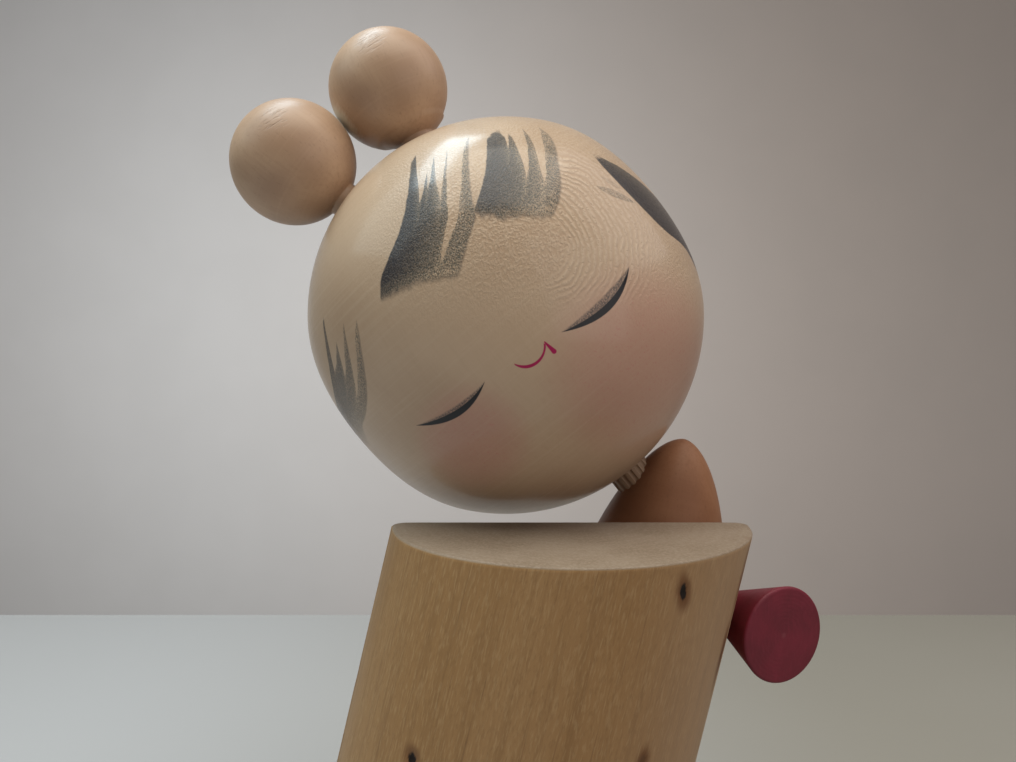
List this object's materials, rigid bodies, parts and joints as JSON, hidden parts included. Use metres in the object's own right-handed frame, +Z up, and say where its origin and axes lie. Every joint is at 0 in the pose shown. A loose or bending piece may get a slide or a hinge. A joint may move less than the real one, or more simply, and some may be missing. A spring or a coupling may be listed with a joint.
{
  "type": "kokeshi doll",
  "caption": "Turned wooden doll with a round, turning, painted head and two hair buns, standing behind a leaning split log and hugging it with a painted sleeve.",
  "frame": {"origin": "on the ground under the log, on the line of the log's axis, 6 mm in front of its split face", "axes": "+X the viewer's right, which the log and the body lean towards; +Y away from the viewer; +Z up"},
  "size_m": [0.106, 0.0814, 0.1954],
  "materials": {
    "head_wood": "pale wood under clear lacquer, painted face and hair",
    "bun_wood": "satin wood",
    "body_wood": "warm satin wood",
    "log_wood": "bare split log, sawn ends, small knots",
    "dowel_wood": "bare beech dowel",
    "sleeve_paint": "matt magenta paint on wood"
  },
  "bodies": {
    "stand": {"log_half": "log_wood", "body": "body_wood", "join_dowel_upper": "dowel_wood", "join_dowel_lower": "dowel_wood", "neck_dowel": "dowel_wood", "sleeve": "sleeve_paint", "sleeve_peg": "dowel_wood"},
    "head": {"head": "head_wood", "bun_left": "bun_wood", "bun_right": "bun_wood", "bun_peg_left": "dowel_wood", "bun_peg_right": "dowel_wood"}
  },
  "joints": [
    {"name": "head_turn", "type": "hinge", "parent": "stand", "child": "head", "pos_m": [0.0136, 0.022, 0.1407], "axis": [-0.6293, 0, 0.7771], "continuous": true}
  ]
}
